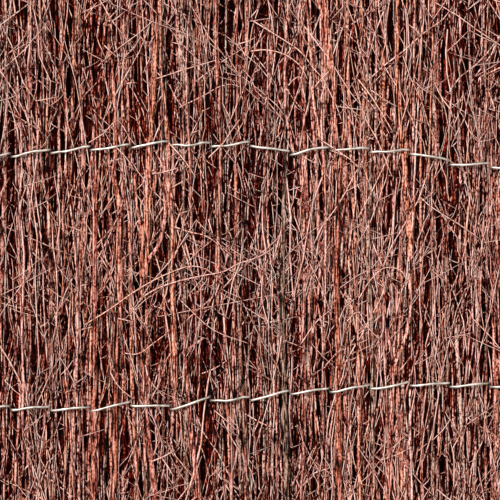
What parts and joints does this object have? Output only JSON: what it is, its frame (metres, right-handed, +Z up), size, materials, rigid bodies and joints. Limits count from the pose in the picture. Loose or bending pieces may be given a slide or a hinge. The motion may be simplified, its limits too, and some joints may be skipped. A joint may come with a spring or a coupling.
{
  "type": "heather screen fence",
  "caption": "Upright length of heather screening: bundled stems held side by side by rows of twisted binding wire.",
  "frame": {"origin": "on the ground plane, under the middle of the screen, half way through its depth", "axes": "+X along the screen's length to the right seen from the front, -Y towards the front, +Z up the stems"},
  "size_m": [0.5106, 0.017, 1],
  "materials": {
    "heather_stems": "dry bark, matt",
    "binding_wire": "galvanised, semi-dull"
  },
  "bodies": {
    "root": {"bundle_01": "heather_stems", "bundle_02": "heather_stems", "bundle_03": "heather_stems", "bundle_04": "heather_stems", "bundle_05": "heather_stems", "bundle_06": "heather_stems", "bundle_07": "heather_stems", "bundle_08": "heather_stems", "bundle_09": "heather_stems", "bundle_10": "heather_stems", "bundle_11": "heather_stems", "bundle_12": "heather_stems", "bundle_13": "heather_stems", "bundle_14": "heather_stems", "bundle_15": "heather_stems", "bundle_16": "heather_stems", "bundle_17": "heather_stems", "bundle_18": "heather_stems", "bundle_19": "heather_stems", "bundle_20": "heather_stems", "bundle_21": "heather_stems", "bundle_22": "heather_stems", "bundle_23": "heather_stems", "bundle_24": "heather_stems", "binding_wire_1a": "binding_wire", "binding_wire_1b": "binding_wire", "binding_wire_2a": "binding_wire", "binding_wire_2b": "binding_wire", "binding_wire_3a": "binding_wire", "binding_wire_3b": "binding_wire", "binding_wire_4a": "binding_wire", "binding_wire_4b": "binding_wire", "binding_wire_5a": "binding_wire", "binding_wire_5b": "binding_wire", "binding_wire_6a": "binding_wire", "binding_wire_6b": "binding_wire", "binding_wire_7a": "binding_wire", "binding_wire_7b": "binding_wire"}
  },
  "joints": []
}
